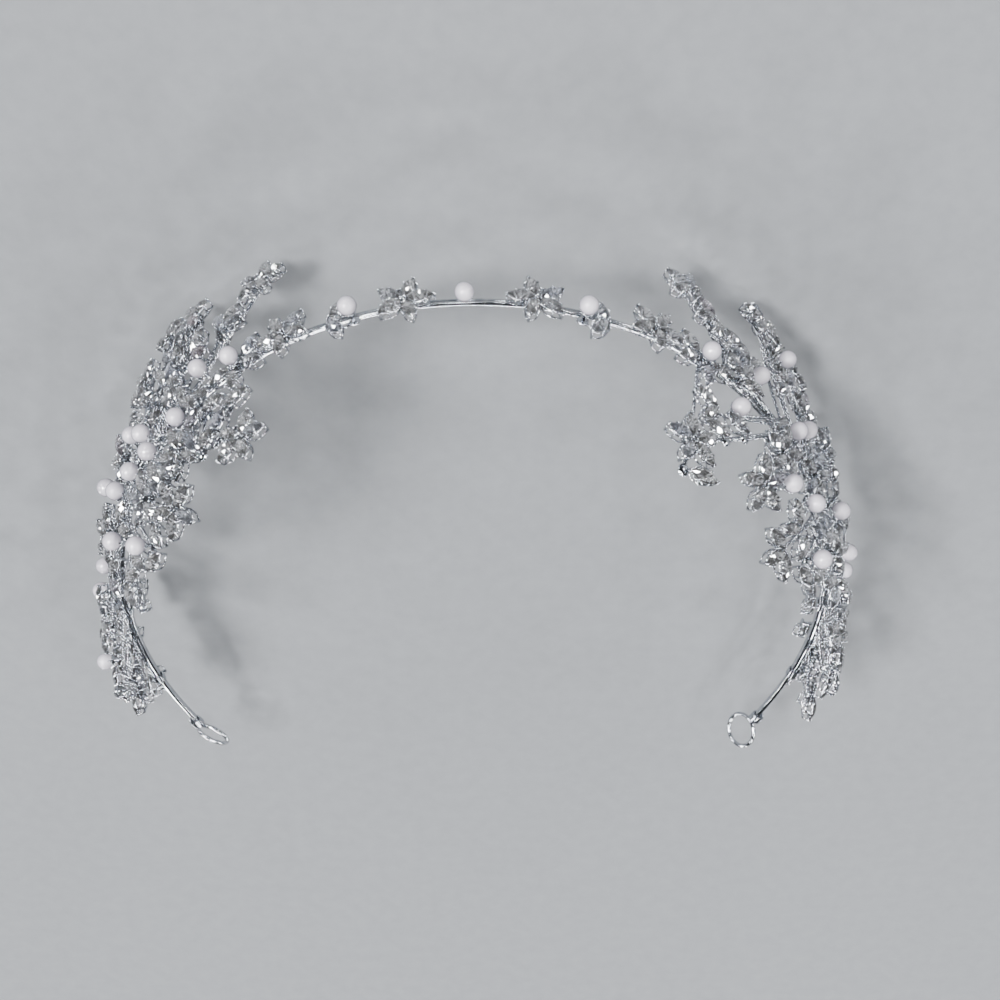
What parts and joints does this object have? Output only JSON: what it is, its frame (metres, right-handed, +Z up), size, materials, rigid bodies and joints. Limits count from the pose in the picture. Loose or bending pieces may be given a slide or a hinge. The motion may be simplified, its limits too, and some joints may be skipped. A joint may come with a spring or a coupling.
{
  "type": "pearl headband",
  "caption": "Open arch headband of grooved silver-coloured strip, with sprays of marquise-cut clear stone flowers and white pearls at the sides and an eyelet at each end.",
  "frame": {"origin": "on the surface that the headband lies on, below the middle of its bounding box", "axes": "+X to the side across the arch, +Y from the eyelets to the top of the arch, +Z up from the surface, which is the front when worn"},
  "size_m": [0.1596, 0.1286, 0.0641],
  "materials": {
    "metal": "polished rhodium plate",
    "stone": "cut and polished",
    "pearl": "soft nacre lustre"
  },
  "bodies": {
    "root": {"band": "metal", "left_spray": "metal", "right_spray": "metal", "top_stones": "stone", "left_stones": "stone", "right_stones": "stone", "top_pearl_1": "pearl", "top_pearl_2": "pearl", "top_pearl_3": "pearl", "left_pearl_1": "pearl", "left_pearl_2": "pearl", "left_pearl_3": "pearl", "left_pearl_4": "pearl", "left_pearl_5": "pearl", "left_pearl_6": "pearl", "left_pearl_7": "pearl", "left_pearl_8": "pearl", "left_pearl_9": "pearl", "left_pearl_10": "pearl", "left_pearl_11": "pearl", "left_pearl_12": "pearl", "left_pearl_13": "pearl", "left_pearl_14": "pearl", "right_pearl_1": "pearl", "right_pearl_2": "pearl", "right_pearl_3": "pearl", "right_pearl_4": "pearl", "right_pearl_5": "pearl", "right_pearl_6": "pearl", "right_pearl_7": "pearl", "right_pearl_8": "pearl", "right_pearl_9": "pearl", "right_pearl_10": "pearl", "right_pearl_11": "pearl", "right_pearl_12": "pearl"}
  },
  "joints": []
}
